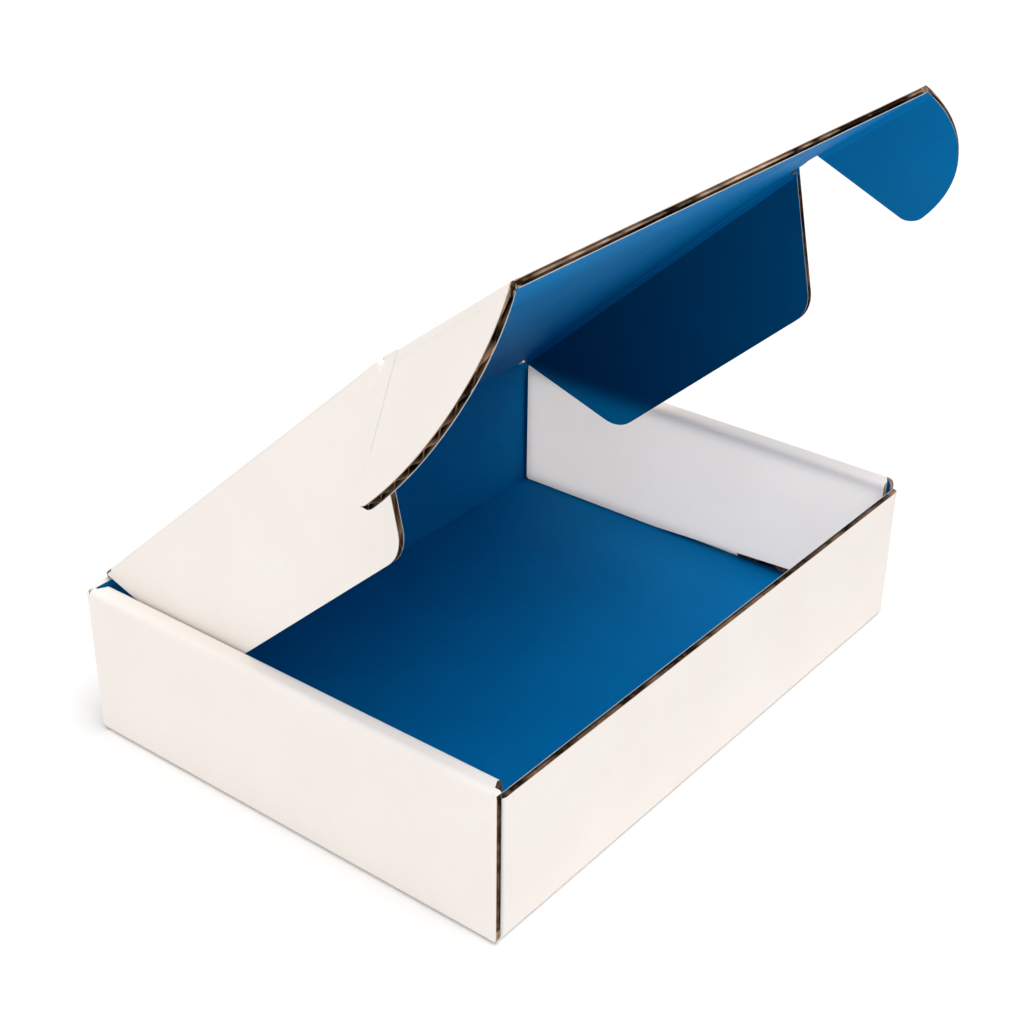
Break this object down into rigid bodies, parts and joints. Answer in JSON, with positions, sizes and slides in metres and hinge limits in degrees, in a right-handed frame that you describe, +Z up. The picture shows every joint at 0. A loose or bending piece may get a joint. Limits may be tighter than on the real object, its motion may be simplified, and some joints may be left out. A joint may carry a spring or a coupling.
{
  "type": "corrugated mailer box",
  "caption": "Roll-end mailer box of corrugated board with a hinged lid, side flaps, a tuck flap and two lock ears; white outside, blue inside, standing part open.",
  "frame": {"origin": "centre of the base's underside", "axes": "+X along the front wall, -Y out through the front wall, +Z up"},
  "size_m": [0.3737, 0.2255, 0.2642],
  "materials": {
    "tray_board": "uncoated warm-white liner outside, blue printed liner inside, raw kraft edges",
    "lid_board": "uncoated warm-white liner outside, blue printed liner inside",
    "flap_board": "blue printed liner inside, warm-white liner outside, raw kraft edges",
    "ear_board": "uncoated warm-white liner outside, blue printed liner inside, raw kraft edges"
  },
  "bodies": {
    "tray": {"tray": "tray_board"},
    "lid": {"lid_panel": "lid_board"},
    "left_flap": {"left_side_flap": "flap_board"},
    "right_flap": {"right_side_flap": "flap_board"},
    "tuck": {"tuck_flap": "flap_board"},
    "left_ear": {"left_lock_ear": "ear_board"},
    "right_ear": {"right_lock_ear": "flap_board"}
  },
  "joints": [
    {"name": "lid_hinge", "type": "hinge", "parent": "tray", "child": "lid", "pos_m": [0, 0.1105, 0.0755], "axis": [-1, 0, 0], "range_deg": [-42.84, 138]},
    {"name": "left_flap_crease", "type": "hinge", "parent": "lid", "child": "left_flap", "pos_m": [-0.1435, 0.1105, 0.0755], "axis": [0, -0.7431, 0.6691], "range_deg": [0, 35]},
    {"name": "right_flap_crease", "type": "hinge", "parent": "lid", "child": "right_flap", "pos_m": [0.1435, 0.1105, 0.0755], "axis": [0, 0.7431, -0.6691], "range_deg": [0, 35]},
    {"name": "tuck_crease", "type": "hinge", "parent": "lid", "child": "tuck", "pos_m": [0, -0.05123, 0.22112], "axis": [-1, 0, 0], "range_deg": [-85.5, 4.5]},
    {"name": "left_ear_crease", "type": "hinge", "parent": "tuck", "child": "left_ear", "pos_m": [-0.1401, -0.05123, 0.22112], "axis": [0, 0.7934, -0.6088], "range_deg": [-51, 39]},
    {"name": "right_ear_crease", "type": "hinge", "parent": "tuck", "child": "right_ear", "pos_m": [0.1401, -0.05123, 0.22112], "axis": [0, -0.7934, 0.6088], "range_deg": [-41.5, 48.5]}
  ]
}
